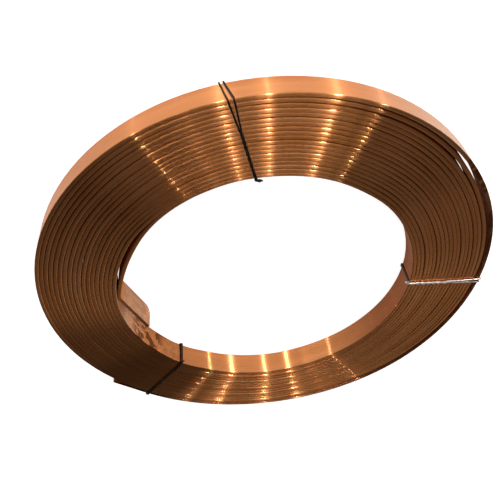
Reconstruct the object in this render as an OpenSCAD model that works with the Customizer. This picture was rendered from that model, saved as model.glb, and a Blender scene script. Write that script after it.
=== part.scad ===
// Coil of flat copper strip, wound on edge in a flat spiral and bound with three doubled wire ties.
// Millimetres. The floor is z = 0, the coil's axis is Z, and the front tie faces -Y.

/* [Strip] */
// Width of the strip, which is the height of the coil
strip_w = 20; // [10:0.5:40]
// Thickness of the strip
strip_t = 3; // [2:0.1:6]
// How far each edge of a turn is eased back beside the groove
edge_step = 0.4; // [0.2:0.05:0.6]
// Depth of the groove between two turns, on both ends of the coil
groove_d = 1; // [0.4:0.1:2]

/* [Winding] */
// Inside diameter of the coil
bore_d = 236; // [180:1:320]
// Number of turns
turns = 19; // [6:1:26]
// Space left between one turn and the next
wind_gap = 0.2; // [0.1:0.05:0.5]

/* [Outer end] */
// Direction in which the outer end leaves the coil
outer_angle = 40; // [36:0.5:40]
// Length of the straight outer end
outer_tail = 30; // [10:1:45]

/* [Inner end] */
// Direction in which the innermost turn starts to leave the wall
lift_angle = 289; // [280:1:295]
// Angle of the first, tighter bend of the free end
lift_turn = 32; // [24:1:34]
// How much smaller the radius of that bend is than the turn's
lift_tighter = 14; // [10:1:18]
// How much larger the radius is on the way back to the wall
lift_flatter = 60; // [50:1:90]
// Sharp bend where the inner end points into the bore
kink_angle = 35; // [15:1:45]
// Inside radius of the sharp bend
kink_r = 5; // [3:0.5:9]
// Length of the straight inner end
inner_tail = 41; // [20:1:55]
// Radius on the lower corner of the inner end
tip_r = 7; // [3:0.5:9]

/* [Ties] */
// Diameter of the tie wire
wire_d = 1.2; // [0.8:0.1:2]
// Space between a tie and the strip
tie_clear = 0.15; // [0.1:0.05:0.3]
// Distance between the two strands of a tie at the outer wall
tie_spread = 3.8; // [2.5:0.1:6]
// Depth of the flat pressed on the underside of the wire where the coil stands on it
press_flat = 0.1; // [0.05:0.05:0.2]
// Direction of the front tie at the bore
front_near = 267.7; // [262:0.1:274]
// Direction of the front tie at the outer wall
front_far = 270.8; // [262:0.1:274]
// Direction of the left tie at the bore
left_near = 170.7; // [160:0.1:180]
// Direction of the left tie at the outer wall
left_far = 170; // [160:0.1:180]
// Direction of the rear tie at the bore
rear_near = 41.6; // [41.6:0.1:50]
// Direction of the rear tie at the outer wall
rear_far = 42.6; // [42:0.1:50]
// Length of the twisted end of a tie
twist_len = 7; // [4:0.5:9]

/* [Hidden] */
$fn = 96;

copper = [0.80, 0.45, 0.26];
steel = [0.36, 0.35, 0.34];

// Winding: two half circles a turn, whose centres lie half a pitch apart
pitch = strip_t + wind_gap;
centre_a = pitch / 4 * unit(outer_angle);
centre_b = -centre_a;
inner_a = bore_d / 2;
inner_b = inner_a - pitch / 2;
last = turns - 1;
outer_a = inner_a + last * pitch + strip_t;
outer_b = outer_a - pitch / 2;
half_angle = outer_angle + 180;

// Where two stretches of strip join, one is this much slimmer and runs this far into the other
lap_step = 0.03;
lap = 0.3;
// How far a cut runs past what it cuts
cut_over = 1;
// The web beside the last part of the innermost turn ends this many degrees short of it
web_end = 1;

// Levels
wire_z = wire_d / 2 - press_flat;
coil_z = wire_z + wire_d / 2 + tie_clear;

// Free inner end: outer face of the strip, tangent from bend to bend
wall_r = inner_b + strip_t;
tight_r = wall_r - lift_tighter;
flat_r = wall_r + lift_flatter;
tight_end = lift_angle + lift_turn;
tight_c = centre_b + lift_tighter * unit(lift_angle);
flat_c = tight_c + (tight_r - flat_r) * unit(tight_end);
flat_off = flat_c - centre_b;
flat_dir = atan2(flat_off[1], flat_off[0]);
flat_cos = (wall_r * wall_r - flat_off * flat_off - flat_r * flat_r) / (2 * flat_r * norm(flat_off));
touch_dir = turn_after(flat_dir - acos(flat_cos), flat_dir + acos(flat_cos), tight_end);
kink_c = flat_c + (flat_r - strip_t - kink_r) * unit(touch_dir);
tail_dir = touch_dir + kink_angle;

// Ties: the straight stretches are this much slimmer than the bends, and run this far into them
wire_step = wire_d / 120;
wire_lap = wire_d / 15;
bend_r = wire_d / 2 + 2 * tie_clear;
strand_off = wire_d / 2 + tie_clear;
loop_h = strip_w + 2 * strand_off;
near_half = wire_d / 2 + tie_clear / 2;
far_half = tie_spread / 2;
knot_d = 1.5 * wire_d;
twist_turns = 2.5;
twist_dip = 30;
front_twist = 35;
left_twist = 0;
rear_twist = -20;

// Unit vector in a direction
function unit(a) = [cos(a), sin(a)];

// The first of two directions that comes after a given one
function turn_after(a, b, start) = min(ahead(a, start), ahead(b, start));
function ahead(a, start) = start + (a - start) - 360 * floor((a - start) / 360);

// Distance from the coil's axis, along a direction, to a circle about another centre
function reach(a, c, r) = c * unit(a) + sqrt(r * r - pow(c * [-sin(a), cos(a)], 2));
function in_first_half(a) = a >= outer_angle && a <= half_angle;
function bore_reach(a) = in_first_half(a) ? reach(a, centre_a, inner_a) : reach(a, centre_b, inner_b);
function rim_reach(a) = in_first_half(a) ? reach(a, centre_a, outer_a) : reach(a, centre_b, outer_b);

// One edge of the section through some turns, from the bore outwards: each turn is eased on both sides
function comb(first, count, r, inset) = [
    [r + first * pitch + inset, groove_d + inset],
    for (k = [first : first + count - 1])
        let (near = r + k * pitch + edge_step + inset, far = r + k * pitch + strip_t - edge_step - inset)
            each [[near, groove_d + inset], [near, inset], [far, inset], [far, groove_d + inset]],
    [r + (first + count - 1) * pitch + strip_t - inset, groove_d + inset]
];

// Section through some turns, which are joined below the grooves between them
module turns_section(first, count, r, inset = 0) {
    low = comb(first, count, r, inset);
    high = [for (i = [len(low) - 1 : -1 : 0]) [low[i][0], strip_w - low[i][1]]];
    polygon(concat(low, high));
}

// Turned half of the winding, from one turn outwards
module half_winding(first, centre, r, from) {
    translate([centre[0], centre[1], coil_z])
        rotate(from)
            rotate_extrude(angle = 180, $fn = 240)
                turns_section(first, turns - first, r);
}

// Bend of the single strip with its outer face at radius r, run on at both ends by a length
module strip_bend(centre, r, from, angle, on = 0, inset = 0) {
    more = on / r * 180 / PI;
    translate([centre[0], centre[1], coil_z])
        rotate(from - more)
            rotate_extrude(angle = angle + 2 * more, $fn = 240)
                turns_section(0, 1, r - strip_t, inset);
}

// Straight strip along +Y, with its inner face at x = 0
module strip_straight(from, to) {
    translate([0, to, 0])
        rotate([90, 0, 0])
            linear_extrude(to - from)
                turns_section(0, 1, 0, lap_step);
}

// Outer end: straight on from the start of the outermost turn
module outer_end() {
    start = centre_a + (outer_a - strip_t) * unit(outer_angle);
    translate([start[0], start[1], coil_z])
        rotate(outer_angle)
            strip_straight(-outer_tail, lap);
}

// Last part of the innermost turn, with a web to the turn outside it
module last_turn() {
    strip_bend(centre_b, wall_r, half_angle, lift_angle - half_angle, lap, lap_step);
    translate([centre_b[0], centre_b[1], coil_z + groove_d + lap_step])
        rotate(half_angle + web_end)
            rotate_extrude(angle = lift_angle - half_angle - 2 * web_end, $fn = 240)
                translate([wall_r - wind_gap, 0])
                    square([3 * wind_gap, strip_w - 2 * groove_d - 2 * lap_step]);
}

// Inner end: it bows off the wall, comes back to it, and turns sharply into the bore
module inner_end() {
    strip_bend(tight_c, tight_r, lift_angle, lift_turn);
    strip_bend(flat_c, flat_r, tight_end, touch_dir - tight_end, lap, lap_step);
    strip_bend(kink_c, kink_r + strip_t, touch_dir, kink_angle);
    start = kink_c + kink_r * unit(tail_dir);
    translate([start[0], start[1], coil_z])
        rotate(tail_dir)
            difference() {
                strip_straight(-lap, inner_tail);
                translate([0, inner_tail - tip_r, tip_r])
                    tip_cut();
            }
}

// What is cut from the lower corner of the inner end to round it
module tip_cut() {
    difference() {
        translate([-cut_over, 0, -tip_r - cut_over])
            cube([strip_t + 2 * cut_over, tip_r + cut_over, tip_r + cut_over]);
        translate([-2 * cut_over, 0, 0])
            rotate([0, 90, 0])
                cylinder(r = tip_r, h = strip_t + 4 * cut_over);
    }
}

module strip_coil() {
    color(copper)
        union() {
            half_winding(0, centre_a, inner_a, outer_angle);
            half_winding(1, centre_b, inner_b, half_angle);
            last_turn();
            outer_end();
            inner_end();
        }
}

// Straight wire along +X, run on into the bends at both ends
module wire_x(length) {
    translate([-wire_lap, 0, 0])
        rotate([0, 90, 0])
            cylinder(d = wire_d - 2 * wire_step, h = length + 2 * wire_lap, $fn = 32);
}

// Upright wire, run on into the bends at both ends
module wire_up(length) {
    translate([0, 0, -wire_lap])
        cylinder(d = wire_d - 2 * wire_step, h = length + 2 * wire_lap, $fn = 32);
}

// Quarter bend from +X round to +Z, about the origin, turned by a quarter at a time
module wire_bend(quarter) {
    rotate([90, 0, 0])
        rotate(90 * quarter)
            rotate_extrude(angle = 90)
                translate([bend_r, 0])
                    circle(d = wire_d, $fn = 32);
}

// Closed loop of one strand, in the XZ plane, on the centre line of the wire
module wire_loop(length) {
    inside = [bend_r, length - bend_r];
    level = [bend_r, loop_h - bend_r];
    for (z = [0, loop_h])
        translate([bend_r, 0, z])
            wire_x(length - 2 * bend_r);
    for (x = [0, length])
        translate([x, 0, bend_r])
            wire_up(loop_h - 2 * bend_r);
    translate([inside[1], 0, level[1]])
        wire_bend(0);
    translate([inside[0], 0, level[1]])
        wire_bend(1);
    translate([inside[0], 0, level[0]])
        wire_bend(2);
    translate([inside[1], 0, level[0]])
        wire_bend(3);
}

// Point beside the wall in a direction, shifted sideways along the wall
function near_point(a, shift) =
    let (r = bore_reach(a) - strand_off, b = a + shift / r * 180 / PI)
        (bore_reach(b) - strand_off) * unit(b);
function far_point(a, shift) =
    let (r = rim_reach(a) + strand_off, b = a + shift / r * 180 / PI)
        (rim_reach(b) + strand_off) * unit(b);

// One strand, from its place at the bore to its place at the outer wall
module strand(near_a, far_a, side) {
    near = near_point(near_a, side * near_half);
    far = far_point(far_a, side * far_half);
    run = far - near;
    translate([near[0], near[1], wire_z])
        rotate(atan2(run[1], run[0]))
            wire_loop(norm(run));
}

// The two ends of the wire twisted together, along +Z
module twist() {
    linear_extrude(twist_len, twist = -360 * twist_turns, slices = 20, $fn = 12)
        for (side = [-1, 1])
            translate([side * 0.4 * wire_d, 0])
                circle(d = wire_d, $fn = 12);
}

// Tie with its twisted end at the edge of the bore, turned sideways and down
module tie(near_a, far_a, sideways) {
    knot = near_point(near_a, 0) - 0.1 * wire_d * unit(near_a);
    difference() {
        union() {
            for (side = [-1, 1])
                strand(near_a, far_a, side);
            translate([knot[0], knot[1], wire_z + loop_h + 0.1 * wire_d])
                rotate(near_a) {
                    rotate([90, 0, 0])
                        cylinder(d = knot_d, h = 2 * near_half + wire_d, center = true, $fn = 32);
                    rotate(sideways)
                        rotate([0, -90 - twist_dip, 0])
                            twist();
                }
        }
        translate([0, 0, -wire_d])
            cylinder(r = outer_a + tie_spread, h = wire_d);
    }
}

module tie_front() {
    color(steel)
        tie(front_near, front_far, front_twist);
}

module tie_left() {
    color(steel)
        tie(left_near, left_far, left_twist);
}

module tie_rear() {
    color(steel)
        tie(rear_near, rear_far, rear_twist);
}

strip_coil();
tie_front();
tie_left();
tie_rear();
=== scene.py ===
"""Copper strip coil: the strip as it is really wound, its wire ties, floor, light and camera."""
import math

import bpy
import numpy as np
from mathutils import Matrix, Vector


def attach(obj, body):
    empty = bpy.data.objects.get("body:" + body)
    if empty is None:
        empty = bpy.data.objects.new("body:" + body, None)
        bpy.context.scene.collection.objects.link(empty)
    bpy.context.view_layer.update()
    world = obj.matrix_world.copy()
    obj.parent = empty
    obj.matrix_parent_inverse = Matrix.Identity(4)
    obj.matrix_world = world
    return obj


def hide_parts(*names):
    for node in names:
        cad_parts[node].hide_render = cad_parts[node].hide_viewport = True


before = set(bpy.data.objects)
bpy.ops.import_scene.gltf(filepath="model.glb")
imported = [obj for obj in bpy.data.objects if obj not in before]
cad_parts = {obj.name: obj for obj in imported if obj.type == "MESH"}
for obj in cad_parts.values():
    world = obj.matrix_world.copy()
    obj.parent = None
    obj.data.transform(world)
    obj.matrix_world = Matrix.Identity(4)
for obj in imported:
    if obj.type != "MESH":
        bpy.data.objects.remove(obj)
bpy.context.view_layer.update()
MM = 0.001

# Sizes of the strip, its winding and the wire, in millimetres and degrees, as in the CAD source
STRIP_T = 3.0
STRIP_W = 20.0
GAP = 0.2
TURNS = 19
BORE = 236.0
PITCH = STRIP_T + GAP
OUTER_A = 40.0
OUTER_TAIL = 30.0
LIFT_A = 289.0
LIFT_TURN = 32.0
TIGHTER = 14.0
FLATTER = 60.0
KINK_A = 35.0
KINK_R = 5.0
INNER_TAIL = 41.0
TIP_R = 7.0
WIRE_D = 1.2
CLEAR = 0.15
PRESS_FLAT = 0.1
COIL_Z = WIRE_D - PRESS_FLAT + CLEAR
TOP_Z = COIL_Z + STRIP_W


def unit(a):
    """Level direction at an angle in degrees."""
    return np.array([math.cos(math.radians(a)), math.sin(math.radians(a))])


# Centres of the two half windings, with the radii of the bore and the rim round them
CEN_A = PITCH / 4 * unit(OUTER_A)
CEN_B = -CEN_A
IN_A = BORE / 2
IN_B = IN_A - PITCH / 2
OUT_A = IN_A + (TURNS - 1) * PITCH + STRIP_T
OUT_B = OUT_A - PITCH / 2

# Winding as it is drawn: phi is the angle along the strip from the start of the outermost turn
STEP = 3.0
PER_TURN = int(360 / STEP)
END_PHI = 360.0 * (TURNS - 1) + (LIFT_A - OUTER_A)
PHIS = [i * STEP for i in range(int(END_PHI / STEP) + 1)]
# Angles of the rear, left and front ties, and how far to each side they hold the turns
TIE_ANGLES = (42.1, 170.3, 269.3)
TIE_REACH = 9.0

# Spaces between the turns before they are scaled to fit: the least, what chance adds, and what changes that
GAP_LEAST = 0.02
GAP_CHANCE = 0.62
GAP_FINE = 0.04
OPEN_LESS = 0.44
EVEN_LESS = 0.32
EVEN_MORE = 0.10
TIE_LESS = 0.4
OUTER_OPEN = 2.2
OUTER_SHUT = 0.85
# Steps on each side over which the scale of the gaps is smoothed
FIT_SOFT = 4
# Stretches of a turn in degrees: start, end and the length over which they fade out
OPEN_PART = (75, 155, 32)
EVEN_PART = (190, 345, 25)
SHUT_PART = (268, 315, 15)
# Gaps that stand out in the photograph: turns, added width and stretch
WIDE_GAPS = (
    ((3, 6, 10, 12, 15), 0.28, (75, 185, 30)),
    ((1, 2, 4, 7, 11), 0.30, (250, 262, 18)),
    ((1, 4, 9), 0.35, (195, 255, 20)),
)

# Outermost turns that stand off between the ties
SPRUNG_TURNS = 8
SPRUNG_REAR = 1.5
SPRUNG_LEFT = (1.7, 0.85)
SPRUNG_FRONT = 0.75
SPRUNG_AT_TIE = 0.3
AT_TIE_WIDTH = 30
# Angle at which the stretch past the front tie ends, just short of the rear tie
SPRUNG_END = 402.0
# Turns that stand higher than the rest
PROUD_TURNS = (2, 6, 9, 13, 16)
PROUD_Z = 0.85
PROUD_START = 43
PROUD_LENGTH = 90
# Heights and tilts of the turns by chance, and how much the ties take from them
CHANCE_Z = 0.42
CHANCE_TILT = 0.35
TIE_LESS_Z = 0.75
TIE_LESS_TILT = 0.5
# Rise of the outer end's tip, and how far the free inner end is moved out where it meets the wall
OUTER_RISE = 0.1
WALL_MOVE = 0.1

# Parts of the strip painted paler or darker: stretches of the outermost turn, from its start; its darker top
# edges are painted shade
PALE_WALL = (150, 176, 34)
EDGE_PAINTED_SHADE_PART = (85, 150, 25)
START_PAINTED_SHADE_PART = (-5, 5, 4)
# The same for the bore, from the start of the last turn but one
# the free end's paler stretch is painted light where the wall lies in shade
PAINTED_LIGHT_BORE = (303, 330, 10)
STAINED = (333, 347, 5)
STAIN_PAST = (347, 356, 8)
# painted shade: stretches of the bore wall made darker and redder
PAINTED_SHADE_AT_STAIN = (330, 358, 12)
PAINTED_SHADE_BORE = (470, 560, 42)
# How strong these looks are where they are not whole, and those of the two ends; the cut face of the outer
# end is painted shade
EDGE_PAINTED_SHADE = 0.75
START_PAINTED_SHADE = 0.8
CUT_FACE_PAINTED_SHADE = 2.0
FREE_END_PAINTED_LIGHT = 0.6
PAST_STAIN = 0.25
FAINT_PAINTED_SHADE = 0.12
TAIL_STAIN = 0.22
TAIL_PAINTED_SHADE = 0.1

# Section of the strip: rounded corners, where they are rounder or sharper, and their steepest slope
CORNER = 0.60
NEAR_ROUNDER = 0.27
NEAR_SIDE = (235, 305, 25)
FAR_SHARPER = 0.20
FAR_SIDE = (45, 135, 25)
PROUD_ROUNDER = 0.9
STEEP = 86.0
TOP_POINTS = 6
LOW_POINTS = 4
# Height by which the strip's narrow edges are crowned
CROWN = 0.06
# Least share of a normal that makes a surface face sideways or up, or belong to the flat wall
SIDEWAYS = 0.3
UPWARDS = 0.5
FLAT_WALL = 0.9


def smooth(u):
    """Soft step from 0 to 1."""
    return u * u * (3 - 2 * u)


def noise_1d(seed, step, length):
    """A smooth random function of a length: values at even steps, joined by smooth curves."""
    rng = np.random.default_rng(seed)
    v = rng.uniform(-1, 1, int(length / step) + 4)

    def f(x):
        x = np.asarray(x, float) / step
        i = np.clip(np.floor(x).astype(int), 0, len(v) - 2)
        u = smooth(x - i)
        return float(v[i] * (1 - u) + v[i + 1] * u)

    return f


gap_noise = noise_1d(seed=11, step=58.0, length=END_PHI)
gap_fine = noise_1d(seed=12, step=13.0, length=END_PHI)
lift_noise = noise_1d(seed=21, step=41.0, length=END_PHI + 360)
tilt_noise = noise_1d(seed=22, step=53.0, length=END_PHI + 360)


def hump(x, lo, hi, soft):
    """1 between lo and hi, falling to 0 over a soft stretch on both sides."""
    return smooth(min(max((x - lo) / soft + 1, 0), max((hi - x) / soft + 1, 0), 1))


def tie_hold(theta):
    """1 at a tie, falling to 0 some way from it."""
    d = min(abs((theta - a + 180) % 360 - 180) for a in TIE_ANGLES)
    return math.exp(-((d / TIE_REACH) ** 2))


def gap_at(phi):
    """Space between the strip at phi and the next turn inside it, before all are scaled to fit."""
    turn, here = int(phi // 360), phi % 360
    open_here = hump(here, *OPEN_PART)
    even_here = hump(here, *EVEN_PART)
    chance = GAP_CHANCE - OPEN_LESS * open_here - EVEN_LESS * even_here
    g = chance * max(0.0, gap_noise(phi)) ** 1.5 + GAP_FINE * gap_fine(phi)
    g = GAP_LEAST + EVEN_MORE * even_here + max(0.0, g) * (1 - TIE_LESS * tie_hold(OUTER_A + phi))
    for turns, wider, stretch in WIDE_GAPS:
        if turn in turns:
            g += wider * hump(here, *stretch)
    if turn == 0:
        g = g * (1 - OUTER_SHUT * hump(here, *SHUT_PART)) + OUTER_OPEN * open_here
    return g


def sprung(phi):
    """How far the outermost turns stand off between the ties."""
    turn = int(phi // 360)
    if turn >= SPRUNG_TURNS:
        return 0.0
    th = OUTER_A + phi % 360
    rear_tie, left_tie, front_tie = TIE_ANGLES
    rear = SPRUNG_REAR if turn == 0 else 0.0
    left = SPRUNG_LEFT[turn] if turn < len(SPRUNG_LEFT) else 0.0
    front = SPRUNG_FRONT * (1 - max(0, turn - 1) / (SPRUNG_TURNS - 1))
    s = 0.0
    if turn == 0:
        s = SPRUNG_AT_TIE * math.exp(-(((th - left_tie) / AT_TIE_WIDTH) ** 2))
    spans = ((rear_tie, left_tie, rear), (left_tie, front_tie, left), (front_tie, SPRUNG_END, front))
    for start, end, height in spans:
        if start < th < end:
            s += height * math.sin(math.pi * (th - start) / (end - start)) ** 1.2
    return s


def proud(phi):
    """How far some turns stand higher than the rest, past the rear tie."""
    if int(phi // 360) not in PROUD_TURNS:
        return 0.0
    u = (OUTER_A + phi % 360 - PROUD_START) / PROUD_LENGTH
    return PROUD_Z * math.sin(math.pi * min(max(u, 0), 1)) ** 1.5


def nominal(phi):
    """Centre and mid radius of the two-centre spiral at phi."""
    k = TURNS - 1 - int(phi // 360)
    if phi % 360 < 180:
        return CEN_A, IN_A + k * PITCH + STRIP_T / 2
    return CEN_B, IN_B + k * PITCH + STRIP_T / 2


def turn_offsets():
    """Shift of the strip from the spiral; gaps are scaled so that bore and rim about keep their places."""
    gaps = np.array([gap_at(phi) for phi in PHIS])
    fit = np.array([GAP / gaps[j::PER_TURN].mean() for j in range(PER_TURN)])
    window = 2 * FIT_SOFT + 1
    fit = np.convolve(np.pad(fit, FIT_SOFT, mode="edge"), np.ones(window) / window, mode="valid")
    shift = np.zeros(len(PHIS))
    for i in range(PER_TURN, len(PHIS)):
        before = i - PER_TURN
        shift[i] = shift[before] + GAP - gaps[before] * fit[i % PER_TURN]
    return shift


def looks(phi):
    """Shares of paler surface and painted light, of stain, of painted shade in the bore, and of painted
    shade on the top edge, where they are not 0.
    """
    inside = phi - 360 * (TURNS - 2)
    if phi < 360:
        return {
            "pale": hump(phi, *PALE_WALL),
            "edge": max(EDGE_PAINTED_SHADE * hump(phi, *EDGE_PAINTED_SHADE_PART), START_PAINTED_SHADE * hump(phi, *START_PAINTED_SHADE_PART)),
        }
    if inside > 0:
        return {
            "pale": FREE_END_PAINTED_LIGHT * hump(inside, *PAINTED_LIGHT_BORE),
            "stain": max(hump(inside, *STAINED), PAST_STAIN * hump(inside, *STAIN_PAST)),
            "painted_shade": max(FAINT_PAINTED_SHADE * hump(inside, *PAINTED_SHADE_AT_STAIN), hump(inside, *PAINTED_SHADE_BORE)),
        }
    return {}


# A plain ring: height offset, tilt in degrees, bottom cut, top corners, and shares as in looks
PLAIN_RING = {
    "lift": 0.0, "tilt": 0.0, "cut": 0.0, "corner": CORNER, "rounder": 0.0,
    "pale": 0.0, "stain": 0.0, "painted_shade": 0.0, "edge": 0.0,
}


def ring(pos, normal, **values):
    """One section of the strip: its place, outward normal and what differs from a plain one."""
    return {"pos": np.array(pos, float), "normal": np.array(normal, float), **PLAIN_RING, **values}


def outer_end(shift):
    """Rings of the outer end, from its tip to the start of the outermost turn."""
    normal = unit(OUTER_A)
    start = CEN_A + (nominal(0)[1] + shift[0]) * normal
    back = unit(OUTER_A - 90)
    rings = []
    # two rings close together at the tip, then even steps
    for s in [OUTER_TAIL, OUTER_TAIL - 0.6, *np.linspace(OUTER_TAIL - 4, 2.0, 7)]:
        rise = OUTER_RISE * (s / OUTER_TAIL) ** 2
        # painted shade over the whole cut face at the tip
        stain = CUT_FACE_PAINTED_SHADE if s == OUTER_TAIL else 0.0
        rings.append(ring(start + s * back, normal, lift=rise, stain=stain, edge=START_PAINTED_SHADE))
    return rings


def winding(shift):
    """Rings of the turns, from the outermost one inwards."""
    rings = []
    for phi, moved in zip(PHIS, shift):
        centre, rho = nominal(phi)
        th = OUTER_A + phi
        hold = tie_hold(th)
        lift = CHANCE_Z * lift_noise(phi) * (1 - TIE_LESS_Z * hold) + proud(phi) * (1 - hold)
        tilt = CHANCE_TILT * tilt_noise(phi) * (1 - TIE_LESS_TILT * hold)
        corner = CORNER + NEAR_ROUNDER * hump(th % 360, *NEAR_SIDE)
        rounder = PROUD_ROUNDER * proud(phi) - FAR_SHARPER * hump(th % 360, *FAR_SIDE)
        pos = centre + (rho + moved + sprung(phi)) * unit(th)
        rings.append(ring(pos, unit(th), lift=lift, tilt=tilt, corner=corner, rounder=rounder, **looks(phi)))
    return rings


def inner_end(shift, lift):
    """Rings of the free inner end: bow off the wall, sharp bend, tail with a rounded lower corner."""
    wall_r = IN_B + STRIP_T
    tight_r, flat_r = wall_r - TIGHTER, wall_r + FLATTER
    tight_end = LIFT_A + LIFT_TURN
    tight_c = CEN_B + TIGHTER * unit(LIFT_A)
    flat_c = tight_c + (tight_r - flat_r) * unit(tight_end)
    # where the flat bow comes back to the wall
    off = flat_c - CEN_B
    off_a = math.degrees(math.atan2(off[1], off[0]))
    cos_a = (wall_r ** 2 - off @ off - flat_r ** 2) / (2 * flat_r * np.linalg.norm(off))
    to_wall = math.degrees(math.acos(cos_a))
    touch = min(tight_end + (a - tight_end) % 360 for a in (off_a - to_wall, off_a + to_wall))
    wall_shift = float(np.interp(360.0 * (TURNS - 2) + touch - OUTER_A, PHIS, shift))

    def moved(a):
        """Shift of the free end: as the turn it comes from, then as the wall it comes back to."""
        u = smooth((a - LIFT_A) / (touch - LIFT_A))
        return shift[-1] * (1 - u) + (wall_shift + WALL_MOVE) * u

    rings = []
    for a in np.arange(LIFT_A + STEP, tight_end, STEP):
        rings.append(ring(tight_c + (tight_r - STRIP_T / 2 + moved(a)) * unit(a), unit(a), lift=lift))
    for a in np.arange(tight_end, touch - 0.5, 2.0):
        rings.append(ring(flat_c + (flat_r - STRIP_T / 2 + moved(a)) * unit(a), unit(a), lift=lift))
    kink_c = flat_c + (flat_r - STRIP_T - KINK_R) * unit(touch)
    kink_mid = KINK_R + STRIP_T / 2 + moved(touch)
    tail_a = touch + KINK_A
    for a in np.arange(touch, tail_a + 0.1, KINK_A / 8):
        rings.append(ring(kink_c + kink_mid * unit(a), unit(a), lift=lift))
    tail_start, ahead = kink_c + kink_mid * unit(tail_a), unit(tail_a + 90)
    plain_len = INNER_TAIL - TIP_R
    rounded = [INNER_TAIL - TIP_R * (1 - math.sin(q)) for q in np.linspace(0.15, 1.5, 9)]
    for s in [*np.linspace(3.0, plain_len, 8), *rounded, INNER_TAIL]:
        cut = TIP_R - math.sqrt(max(0.0, TIP_R ** 2 - max(0.0, s - plain_len) ** 2))
        pos = tail_start + s * ahead
        looks_here = {"pale": FREE_END_PAINTED_LIGHT, "stain": TAIL_STAIN, "painted_shade": TAIL_PAINTED_SHADE}
        rings.append(ring(pos, unit(tail_a), lift=lift, cut=cut, **looks_here))
    return rings


def section_with(outer_corner, inner_corner):
    """Points of the section with normals: from the outer wall over the top, then back underneath."""
    points = []
    for up, count in ((1, TOP_POINTS), (-1, LOW_POINTS)):
        rising = np.linspace(0, STEEP, count)
        for side, slopes in ((up, rising), (-up, rising[::-1])):
            r = CORNER
            if up > 0:
                r = outer_corner if side > 0 else inner_corner
            for slope in np.radians(slopes):
                nx, nz = side * math.cos(slope), up * math.sin(slope)
                x = side * (STRIP_T / 2 - r) + r * nx
                z = up * (STRIP_W / 2 - r - CROWN) + r * nz
                points.append((x, z, nx, nz, up > 0))
            if side == up:
                points.append((0.0, up * STRIP_W / 2, 0.0, float(up), up > 0))
    return points


def add_object(name, data):
    """New object in the scene."""
    ob = bpy.data.objects.new(name, data)
    bpy.context.scene.collection.objects.link(ob)
    return ob


def point_values(mesh, key, values):
    """Attribute with one number for each vertex."""
    at = mesh.attributes.new(key, "FLOAT", "POINT")
    at.data.foreach_set("value", np.array(values, np.float32))


def turned(x, z, tilt):
    """A point or direction of the section, tilted by an angle in degrees."""
    c, s = math.cos(math.radians(tilt)), math.sin(math.radians(tilt))
    return x * c + z * s, -x * s + z * c


def strip_mesh(name):
    """The strip as one closed mesh, with the values that the copper's nodes read."""
    shift = turn_offsets()
    rings = outer_end(shift) + winding(shift)
    rings += inner_end(shift, rings[-1]["lift"])
    outer_run = OUTER_TAIL + math.pi * (BORE + 2 * (TURNS - 1) * PITCH + STRIP_T)
    verts, normals, faces = [], [], []
    values = {key: [] for key in ("along", "across", "pale", "stain", "painted_shade", "matte")}
    run, last_pos = 0.0, rings[0]["pos"]
    for here in rings:
        pos, n, tilt = here["pos"], here["normal"], here["tilt"]
        run += float(np.linalg.norm(pos - last_pos))
        last_pos = pos
        for x, z, nx, nz, is_top in section_with(here["corner"], here["corner"] + here["rounder"]):
            out, high = turned(x, z if is_top else z + here["cut"], tilt)
            p = pos + out * n
            verts.append((p[0] * MM, p[1] * MM, (COIL_Z + STRIP_W / 2 + high + here["lift"]) * MM))
            level, rise = turned(nx, nz, tilt)
            normals.append((n[0] * level, n[1] * level, rise))
            bore_side = nx < -SIDEWAYS or here["stain"] > 1
            # painted shade on the top of the outer turn's edges
            painted_shade_edge_top = here["edge"] and nz > UPWARDS
            values["along"].append(run * MM)
            values["across"].append(z / STRIP_W + 0.5)
            values["pale"].append(here["pale"] if bore_side or nx > SIDEWAYS else 0.0)
            values["stain"].append(1 + here["edge"] if painted_shade_edge_top else here["stain"] * bore_side)
            values["painted_shade"].append(here["painted_shade"] * bore_side)
            values["matte"].append(1.0 if run < outer_run and nx > FLAT_WALL else 0.0)
    m = len(verts) // len(rings)
    for i in range(len(rings) - 1):
        for j in range(m):
            a, b = i * m + j, i * m + (j + 1) % m
            faces.append((a, a + m, b + m, b))
    first_end = tuple(range(m))
    last_end = tuple(range(len(verts) - 1, len(verts) - m - 1, -1))
    mesh = bpy.data.meshes.new(name)
    mesh.from_pydata(verts, [], [*faces, first_end, last_end])
    mesh.update()
    mesh.polygons.foreach_set("use_smooth", [True] * len(mesh.polygons))
    # the two cut ends stay flat
    loops = []
    for poly in mesh.polygons:
        is_end = poly.index >= len(faces)
        loops += [poly.normal[:] if is_end else normals[v] for v in poly.vertices]
    mesh.normals_split_custom_set(loops)
    for key, numbers in values.items():
        point_values(mesh, key, numbers)
    return add_object(name, mesh)


# Wire ties: the twist, the bends round the strip's edges, and how the strands lie below
TWIST_LEN = 9.0
TWIST_R = 0.52 * WIRE_D
END_TIGHTER = 1.6
BEND_S = 0.35
BEND_Z = 0.9
BEND_SINK = 0.12
SLACK_Z = 0.25
LOW_SPREAD = 0.74
LOW_CLOSE = 0.62 * WIRE_D


def reach(a, c, r):
    """Distance from the axis, at angle a, to the circle of radius r round c."""
    return float(c @ unit(a)) + math.sqrt(r * r - float(c @ unit(a + 90)) ** 2)


def first_half(a):
    """Whether angle a is in the half wound round the first centre."""
    return OUTER_A <= a <= OUTER_A + 180


def bore_reach(a):
    """Radius of the bore at angle a."""
    return reach(a, CEN_A, IN_A) if first_half(a) else reach(a, CEN_B, IN_B)


def rim_reach(a):
    """Radius of the rim at angle a."""
    return reach(a, CEN_A, OUT_A) if first_half(a) else reach(a, CEN_B, OUT_B)


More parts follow.
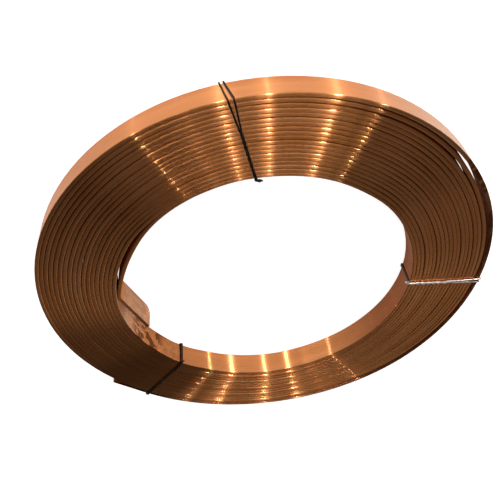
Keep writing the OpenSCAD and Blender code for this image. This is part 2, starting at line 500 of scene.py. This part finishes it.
def smooth_path(points, per):
    """Catmull-Rom curve through points."""
    p = np.array(points, float)
    p = np.vstack([2 * p[0] - p[1], p, 2 * p[-1] - p[-2]])
    out = []
    for a, b, c, d in zip(p, p[1:], p[2:], p[3:]):
        for u in np.linspace(0, 1, per, endpoint=False):
            square = (2 * a - 5 * b + 4 * c - d) * u * u
            cube = (3 * b - a - 3 * c + d) * u ** 3
            out.append(0.5 * (2 * b + (c - a) * u + square + cube))
    out.append(p[-2])
    return np.array(out)


def wire_along(path, radius, sides=10):
    """Vertices and faces of a round wire along a path, closed at both ends."""
    p = np.array(path, float)
    t = np.gradient(p, axis=0)
    t /= np.linalg.norm(t, axis=1)[:, None]
    other = np.array([0.0, 0.0, 1.0]) if abs(t[0][2]) < 0.9 else np.array([1.0, 0.0, 0.0])
    u = np.cross(t[0], other)
    u /= np.linalg.norm(u)
    verts, faces = [], []
    for here, ahead in zip(p, t):
        u = u - ahead * (u @ ahead)
        u /= np.linalg.norm(u)
        v = np.cross(ahead, u)
        for k in range(sides):
            q = 2 * math.pi * k / sides
            verts.append(here + radius * (math.cos(q) * u + math.sin(q) * v))
    for i in range(len(p) - 1):
        for k in range(sides):
            a, b = i * sides + k, i * sides + (k + 1) % sides
            faces.append((a, b, b + sides, a + sides))
    faces.append(tuple(range(sides - 1, -1, -1)))
    faces.append(tuple((len(p) - 1) * sides + k for k in range(sides)))
    return verts, faces


def twisted_end(root, tail, half_turn):
    """Points of one strand of the twisted end, from its tip back to its root at the bore."""
    tail_len = np.linalg.norm(tail)
    d = np.array(tail, float) / tail_len
    a1 = np.cross(d, [0, 0, 1.0])
    a1 /= np.linalg.norm(a1)
    a2 = np.cross(d, a1)
    points = []
    for s in np.linspace(tail_len, 0.6, 12):
        q = s / TWIST_LEN * 2 * math.pi * END_TIGHTER + half_turn
        points.append(list(root + d * s + TWIST_R * (math.cos(q) * a1 + math.sin(q) * a2)))
    return points


def tie_mesh(name, near_a, far_a, merge, tail, seed, breadth, spread, slant):
    """Doubled wire round the section: spread at the rim, twisted together towards the bore."""
    rng = np.random.default_rng(seed)
    off = WIRE_D / 2 + CLEAR
    z_top, z_low = TOP_Z + off, WIRE_D / 2
    near = (bore_reach(near_a) - off) * unit(near_a)
    far = (rim_reach(far_a) + off) * unit(far_a)
    length = float(np.linalg.norm(far - near))
    e = (far - near) / length
    sideways = np.array([-e[1], e[0]])
    merge_s = length * merge

    def at(s, z, lat):
        """Point at a distance from the bore, a height and a distance sideways."""
        q = near + e * s + sideways * lat
        return [q[0], q[1], z]

    def strand(half_turn, wide):
        """Points of one strand, from the tip of the twisted end once round the section."""
        pts = twisted_end(np.array(at(-0.2, z_top + 0.1, 0.0)), tail, half_turn)
        # twisted stretch on the top
        for s in np.arange(1.2, merge_s, TWIST_LEN / 8):
            q = s / TWIST_LEN * 2 * math.pi + half_turn
            z = z_top + TWIST_R * 0.85 + TWIST_R * 0.9 * math.sin(q)
            pts.append(at(s, z, breadth * TWIST_R * math.cos(q)))
        # spread to the rim, a little slack
        sgn = math.copysign(1, math.cos(merge_s / TWIST_LEN * 2 * math.pi + half_turn))
        for u in np.linspace(0.12, 0.94, 6):
            lat = sgn * (TWIST_R + (wide - TWIST_R) * u) + rng.uniform(-0.08, 0.08)
            pts.append(at(merge_s + (length - merge_s) * u, z_top + SLACK_Z * math.sin(math.pi * u), lat))
        # down the rim
        pts.append(at(length - BEND_S, z_top - BEND_SINK, sgn * wide))
        pts.append(at(length, z_top - BEND_Z, sgn * wide * 0.99))
        for u in np.linspace(0.2, 0.85, 4):
            lat = sgn * wide * (1 - 0.25 * u) + slant * u + rng.uniform(-0.1, 0.1)
            pts.append(at(length + 0.05, z_top + (z_low - z_top) * u, lat))
        pts.append(at(length, z_low + BEND_Z, sgn * wide * 0.75 + slant * 0.97))
        # back underneath
        pts.append(at(length - BEND_S, z_low + BEND_SINK, sgn * wide * LOW_SPREAD + slant))
        for u in np.linspace(0.06, 0.94, 6):
            lat = sgn * (wide * LOW_SPREAD * (1 - u) + LOW_CLOSE * u) + slant * (1 - u)
            pts.append(at(length * (1 - u), z_low, lat))
        pts.append(at(BEND_S, z_low + BEND_SINK, sgn * LOW_CLOSE))
        # up the bore
        pts.append(at(0.0, z_low + BEND_Z, sgn * 0.6 * WIRE_D))
        for u in np.linspace(0.25, 0.8, 4):
            lat = sgn * 0.45 * WIRE_D + rng.uniform(-0.03, 0.03)
            pts.append(at(0.10, z_low + (z_top - z_low) * u, lat))
        pts.append(at(-0.05, z_top - BEND_Z, sgn * 0.5 * WIRE_D))
        pts.append(at(0.1, z_top + 0.1, sgn * 0.3 * WIRE_D))
        return pts

    verts, faces = [], []
    for half_turn in (math.pi, 0.0):
        spread *= rng.uniform(0.95, 1.1)
        v, f = wire_along(smooth_path(strand(half_turn, spread), 4), WIRE_D / 2)
        base = len(verts)
        verts += v
        faces += [tuple(i + base for i in q) for q in f]
    mesh = bpy.data.meshes.new(name)
    mesh.from_pydata([tuple(c * MM for c in v) for v in verts], [], faces)
    mesh.update()
    mesh.polygons.foreach_set("use_smooth", [len(p.vertices) == 4 for p in mesh.polygons])
    # the run up the bore lies in shade
    point_values(mesh, "shade", [float((v[:2] - near) @ e < 1.0 and v[2] < TOP_Z - 0.5) for v in verts])
    return add_object(name, mesh)


# Materials
COPPER_DARK = (0.74, 0.275, 0.090)
COPPER_MID = (0.82, 0.330, 0.120)
COPPER_LIGHT = (0.88, 0.390, 0.160)
COPPER_PALE = (0.93, 0.56, 0.36)
COPPER_PAINTED_SHADE = (0.46, 0.165, 0.070)
TARNISH_AND_SHADE = (0.24, 0.075, 0.022)
# Share of the drawn lines in the shine: least, most, and on the outer wall
LINES_LEAST = 0.74
LINES_MOST = 0.93
LINES_WALL = 0.12


def material(name):
    """New material with its node tree and main shader."""
    m = bpy.data.materials.new(name)
    m.use_nodes = True
    nt = m.node_tree
    return m, nt, nt.nodes["Principled BSDF"]


def node(nt, kind, **values):
    """New node, with values for its inputs and its own settings."""
    n = nt.nodes.new(kind)
    for key, value in values.items():
        if key in n.inputs:
            n.inputs[key].default_value = value
        else:
            setattr(n, key, value)
    return n


def put(nt, value, socket):
    """Feed a socket from another socket, a colour or a number."""
    if isinstance(value, bpy.types.NodeSocket):
        nt.links.new(value, socket)
    elif isinstance(value, tuple):
        socket.default_value = (*value, 1)
    else:
        socket.default_value = value


def calc(nt, operation, *values, clamp=False):
    """Result of a sum on sockets and numbers."""
    n = node(nt, "ShaderNodeMath", operation=operation, use_clamp=clamp)
    for socket, value in zip(n.inputs, values):
        put(nt, value, socket)
    return n.outputs[0]


def mix(nt, share, low, high):
    """Mix of two colours, each a socket or a tuple."""
    n = node(nt, "ShaderNodeMix", data_type="RGBA")
    put(nt, share, n.inputs["Factor"])
    put(nt, low, n.inputs[6])
    put(nt, high, n.inputs[7])
    return n.outputs[2]


def mix_shader(nt, share, low, high):
    """Mix of two shaders."""
    n = node(nt, "ShaderNodeMixShader")
    for socket, value in zip(n.inputs, (share, low.outputs[0], high.outputs[0])):
        put(nt, value, socket)
    return n.outputs[0]


def ramp(nt, value, *stops):
    """Colour for a value, from stops of position and colour."""
    n = node(nt, "ShaderNodeValToRGB")
    elements = n.color_ramp.elements
    while len(elements) < len(stops):
        elements.new(0.5)
    for element, (position, colour) in zip(elements, stops):
        element.position = position
        element.color = (*colour, 1)
    put(nt, value, n.inputs["Fac"])
    return n.outputs["Color"]


def attribute(nt, name):
    """Value that the mesh holds at its vertices."""
    return node(nt, "ShaderNodeAttribute", attribute_name=name).outputs["Fac"]


def copper_material():
    """Drawn copper: two anisotropic shaders over the same colour, tarnished in places, with painted light
    and painted shade in others.
    """
    m, nt, p = material("copper")
    link = nt.links.new
    co = node(nt, "ShaderNodeCombineXYZ")
    link(attribute(nt, "along"), co.inputs["X"])
    link(attribute(nt, "across"), co.inputs["Y"])

    def noise(along, across, detail, rough):
        """Noise with its own scale along and across the strip."""
        place = node(nt, "ShaderNodeMapping", Scale=(along, across, 1.0))
        link(co.outputs[0], place.inputs["Vector"])
        n = node(nt, "ShaderNodeTexNoise", Scale=1.0, Detail=detail, Roughness=rough)
        link(place.outputs[0], n.inputs["Vector"])
        return n.outputs["Fac"]

    # slow changes of colour along the strip
    slow = noise(9.0, 1.6, detail=4.0, rough=0.6)
    tone = ramp(nt, slow, (0.30, COPPER_DARK), (0.55, COPPER_MID), (0.75, COPPER_LIGHT))
    # paler stretches of the outer wall, painted light on the free end, and painted shade, darker and redder,
    # inside the bore
    pale = mix(nt, attribute(nt, "pale"), tone, COPPER_PALE)
    painted_shade_tone = mix(nt, attribute(nt, "painted_shade"), pale, COPPER_PAINTED_SHADE)
    # up to 1 this value is the share of dark tarnish blotches, and what is over 1 is painted shade that
    # darkens the whole surface
    stain = attribute(nt, "stain")
    spots = ramp(nt, noise(105.0, 2.3, detail=5.0, rough=0.62), (0.48, (0, 0, 0)), (0.535, (1, 1, 1)))
    whole = calc(nt, "SUBTRACT", stain, 1.0, clamp=True)
    blotch_and_shade = calc(nt, "MAXIMUM", calc(nt, "MULTIPLY", spots, stain), whole, clamp=True)
    base = mix(nt, blotch_and_shade, painted_shade_tone, TARNISH_AND_SHADE)
    # fine drawing lines along the strip spread a light's reflection across it
    rough = node(nt, "ShaderNodeMapRange", **{"To Min": 0.22, "To Max": 0.28})
    link(noise(7.0, 30.0, detail=3.0, rough=0.6), rough.inputs["Value"])
    tangent = node(nt, "ShaderNodeTangent", direction_type="RADIAL", axis="Z")
    lines = node(nt, "ShaderNodeBsdfAnisotropic", distribution="GGX", Anisotropy=0.87)
    for shader, colour in ((p, "Base Color"), (lines, "Color")):
        link(base, shader.inputs[colour])
        link(rough.outputs[0], shader.inputs["Roughness"])
        link(tangent.outputs[0], shader.inputs["Tangent"])
    p.inputs["Anisotropic"].default_value = 1.0
    p.inputs["Anisotropic Rotation"].default_value = 0.25
    p.inputs["Metallic"].default_value = 1.0
    # the lines show unevenly, and least on the outer wall, which is matter
    uneven = noise(6.0, 1.0, detail=2.0, rough=0.5)
    shown = ramp(nt, uneven, (0.36, (LINES_LEAST,) * 3), (0.64, (LINES_MOST,) * 3))
    share = mix(nt, attribute(nt, "matte"), shown, (LINES_WALL,) * 3)
    link(mix_shader(nt, share, p, lines), nt.nodes["Material Output"].inputs["Surface"])
    return m


def wire_material(name, low, high, rough, metal, inside):
    """Wire with small changes of colour, and a painted shade colour, where given, on its run up the bore."""
    m, nt, p = material(name)
    grain = node(nt, "ShaderNodeTexNoise", Scale=420.0, Detail=3.0)
    nt.links.new(node(nt, "ShaderNodeTexCoord").outputs["Object"], grain.inputs["Vector"])
    colour = ramp(nt, grain.outputs["Fac"], (0.35, low), (0.7, high))
    # painted shade on the run up the bore
    if inside is not None:
        colour = mix(nt, attribute(nt, "shade"), colour, inside)
    nt.links.new(colour, p.inputs["Base Color"])
    p.inputs["Metallic"].default_value = metal
    p.inputs["Roughness"].default_value = rough
    return m


copper = copper_material()
dark_wire = wire_material(
    "dark_wire", low=(0.020, 0.016, 0.013), high=(0.060, 0.048, 0.040), rough=0.45, metal=1.0, inside=None)
bright_wire = wire_material(
    "bright_wire", low=(0.42, 0.39, 0.36), high=(0.88, 0.83, 0.78), rough=0.28, metal=0.95,
    inside=(0.10, 0.075, 0.055))

# The coil
coil = strip_mesh("strip_wound")
coil.data.materials.append(copper)
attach(coil, "root")
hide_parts("strip_coil")

# The ties: angles at bore and rim, share of the run that is twisted, twisted end, and lie of the strands
front_shape = {
    "near_a": 267.7, "far_a": 270.8, "merge": 0.66, "tail": (-3.8, 1.3, -1.1),
    "seed": 3, "breadth": 1.0, "spread": 1.9, "slant": 4.0,
}
left_shape = {
    "near_a": 170.7, "far_a": 170.0, "merge": 0.50, "tail": (2.6, -0.6, -1.6),
    "seed": 4, "breadth": 0.8, "spread": 1.6, "slant": 0.0,
}
rear_shape = {
    "near_a": 41.6, "far_a": 42.6, "merge": 0.80, "tail": (-1.4, -1.8, -1.6),
    "seed": 5, "breadth": 0.4, "spread": 0.7, "slant": 0.0,
}
ties = [
    ("wire_front", "tie_front", dark_wire, front_shape),
    ("wire_left", "tie_left", bright_wire, left_shape),
    ("wire_rear", "tie_rear", dark_wire, rear_shape),
]
for name, cad, wire, shape in ties:
    ob = tie_mesh(name, **shape)
    ob.data.materials.append(wire)
    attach(ob, "root")
    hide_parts(cad)

# Floor, room, lamps and camera, in metres
FLOOR_HALF = 4.0
FLOOR_SEEN = 0.85
FLOOR_IN_COPPER = 0.62
FLOOR_SHADE_REACH = 0.05


def floor_material():
    """White for the camera; reflections see it as pale, with painted shade close to the coil."""
    m, nt, p = material("floor")
    p.inputs["Base Color"].default_value = (0.80, 0.80, 0.80, 1)
    p.inputs["Roughness"].default_value = 0.9
    p.inputs["Specular IOR Level"].default_value = 0.0
    ray = node(nt, "ShaderNodeLightPath").outputs
    open_share = node(nt, "ShaderNodeAmbientOcclusion", samples=8, Distance=FLOOR_SHADE_REACH).outputs["AO"]
    floor_painted_shade = calc(nt, "MULTIPLY", open_share, FLOOR_IN_COPPER)
    reflected = calc(nt, "MULTIPLY", ray["Is Glossy Ray"], floor_painted_shade)
    glow = node(nt, "ShaderNodeEmission", Color=(1, 1, 1, 1))
    strength = calc(nt, "MULTIPLY_ADD", ray["Is Camera Ray"], FLOOR_SEEN, reflected)
    nt.links.new(strength, glow.inputs["Strength"])
    both = node(nt, "ShaderNodeAddShader")
    nt.links.new(p.outputs[0], both.inputs[0])
    nt.links.new(glow.outputs[0], both.inputs[1])
    nt.links.new(both.outputs[0], nt.nodes["Material Output"].inputs["Surface"])
    return m


def floor_object():
    """A large level square."""
    h = FLOOR_HALF
    mesh = bpy.data.meshes.new("floor")
    mesh.from_pydata([(-h, -h, 0), (h, -h, 0), (h, h, 0), (-h, h, 0)], [], [(0, 1, 2, 3)])
    mesh.materials.append(floor_material())
    return add_object("floor", mesh)


floor = floor_object()


def studio_world():
    """A dim room, a little lighter overhead and lighter on the side of -X, that the camera sees as white."""
    world = bpy.data.worlds.new("studio")
    bpy.context.scene.world = world
    world.use_nodes = True
    nt = world.node_tree
    way = node(nt, "ShaderNodeSeparateXYZ")
    nt.links.new(node(nt, "ShaderNodeTexCoord").outputs["Generated"], way.inputs[0])

    def grade(axis, lo, hi, to_lo, to_hi):
        """Soft change from one brightness to another between two places on an axis."""
        n = node(nt, "ShaderNodeMapRange", interpolation_type="SMOOTHSTEP")
        for key, value in (("From Min", lo), ("From Max", hi), ("To Min", to_lo), ("To Max", to_hi)):
            n.inputs[key].default_value = value
        nt.links.new(way.outputs[axis], n.inputs["Value"])
        return n.outputs[0]

    overhead = grade("Z", 0.45, 0.80, 0.036, 0.063)
    light_side = grade("X", -0.20, 0.20, 1.0, 0.0)
    low_down = grade("Z", 0.52, 0.66, 0.21, 0.0)
    not_abreast = calc(nt, "ADD", grade("Y", 0.22, 0.46, 0.0, 1.0), grade("Y", -0.25, 0.05, 1.0, 0.0))
    far_end = grade("Y", 0.66, 0.84, 0.0, 0.32)
    side_light = calc(nt, "ADD", calc(nt, "MULTIPLY", low_down, not_abreast), far_end)
    room = nt.nodes["Background"]
    room.inputs["Color"].default_value = (1.0, 0.97, 0.93, 1)
    nt.links.new(calc(nt, "MULTIPLY_ADD", light_side, side_light, overhead), room.inputs["Strength"])
    white = node(nt, "ShaderNodeBackground", Color=(1, 1, 1, 1), Strength=1.0)
    to_camera = node(nt, "ShaderNodeLightPath").outputs["Is Camera Ray"]
    nt.links.new(mix_shader(nt, to_camera, room, white), nt.nodes["World Output"].inputs["Surface"])


def lamp(name, pos, width, height, power):
    """Flat lamp that faces the coil."""
    data = bpy.data.lights.new(name, "AREA")
    data.shape = "RECTANGLE"
    data.size = width
    data.size_y = height
    data.energy = power
    ob = add_object(name, data)
    ob.location = pos
    ob.rotation_euler = (-Vector(pos)).to_track_quat("-Z", "Y").to_euler()
    return ob


def strip_lamp(name, start, end, width, power):
    """Long lamp from start to end, facing the coil."""
    start, end = Vector(start), Vector(end)
    mid = (start + end) / 2
    ob = lamp(name, mid, width, (end - start).length, power)
    z = mid.normalized()
    y = (end - start) - z * (end - start).dot(z)
    y.normalize()
    x = y.cross(z)
    ob.matrix_world = Matrix([[x[i], y[i], z[i], mid[i]] for i in range(3)] + [[0, 0, 0, 1]])


def on_dome(x, y, far_off):
    """Place above the floor in direction x, y at a distance from the origin."""
    return (x * far_off, y * far_off, math.sqrt(1 - x * x - y * y) * far_off)


# Tubes: each has a low lamp for the streaks on the walls and a high one for those on the upper edges
LOW_TUBE_FAR = 2.5
LOW_TUBE_RISE = math.radians(10.5)
LOW_TUBE_HEIGHT = 0.5
LOW_TUBE_POWER = 13.0
HIGH_TUBE_FAR = 2.0
HIGH_TUBE_WIDTH = 0.12
HIGH_TUBE_POWER = 1.05
HIGH_TUBE_Y = 0.05
# direction, share and width of the low lamp, share of the high lamp, its two ends in x and its far end in y
TUBES = (
    (213.5, 0.45, 0.035, 0.28, -0.435, -0.707, -0.40),
    (231.5, 1.30, 0.110, 0.80, -0.278, -0.528, -0.60),
    (257.5, 1.00, 0.055, 0.95, -0.087, -0.164, -0.60),
    (275.8, 1.10, 0.100, 0.48, 0.043, 0.078, -0.60),
    (310.8, 0.30, 0.035, 0.16, 0.287, 0.569, -0.60),
)


def studio_lamps():
    """Broad lamps for the near side, then the tubes."""
    lamp("panel", (-0.22, -0.72, 1.83), width=2.05, height=0.9, power=5.8)
    lamp("front", on_dome(-0.10, -0.87, 2.5), width=2.6, height=0.35, power=6.0)
    lamp("side", on_dome(0.46, -0.82, 2.5), width=0.9, height=0.3, power=4.5)
    lamp("fade", on_dome(0.60, -0.26, 2.1), width=0.95, height=0.9, power=0.5)
    lamp("fade_2", on_dome(0.50, -0.26, 2.15), width=0.6, height=0.9, power=0.3)
    low_z = LOW_TUBE_FAR * math.sin(LOW_TUBE_RISE)
    for i, (direction, low, width, high, x1, x2, y2) in enumerate(TUBES):
        x, y = LOW_TUBE_FAR * math.cos(LOW_TUBE_RISE) * unit(direction)
        lamp("low_tube_%d" % i, (x, y, low_z), width, LOW_TUBE_HEIGHT, LOW_TUBE_POWER * low)
        start, end = on_dome(x1, HIGH_TUBE_Y, HIGH_TUBE_FAR), on_dome(x2, y2, HIGH_TUBE_FAR)
        strip_lamp("high_tube_%d" % i, start, end, HIGH_TUBE_WIDTH, HIGH_TUBE_POWER * high)


# Camera as fitted to the coil's rim and bore: place in millimetres, angles in degrees, picture in pixels
CAMERA_EYE = (0.0, -345.268, 301.141)
CAMERA_YAW = 1.571
CAMERA_PITCH = -43.655
CAMERA_ROLL = 171.217
CAMERA_FOCAL = 550.88
PICTURE_SIZE = 500
SENSOR = 36.0


def photo_camera():
    """Camera of the photograph, which is upside down."""
    cam = bpy.data.cameras.new("camera")
    cam.sensor_width = SENSOR
    cam.lens = SENSOR * CAMERA_FOCAL / PICTURE_SIZE
    cam.clip_start = 0.01
    ob = add_object("camera", cam)
    turn = Matrix.Translation(Vector(CAMERA_EYE) * MM)
    for angle, axis in ((-CAMERA_YAW, "Z"), (90 + CAMERA_PITCH, "X"), (CAMERA_ROLL, "Z")):
        turn = turn @ Matrix.Rotation(math.radians(angle), 4, axis)
    ob.matrix_world = turn
    bpy.context.scene.camera = ob


studio_world()
studio_lamps()
photo_camera()
bpy.context.scene.view_settings.view_transform = "Standard"
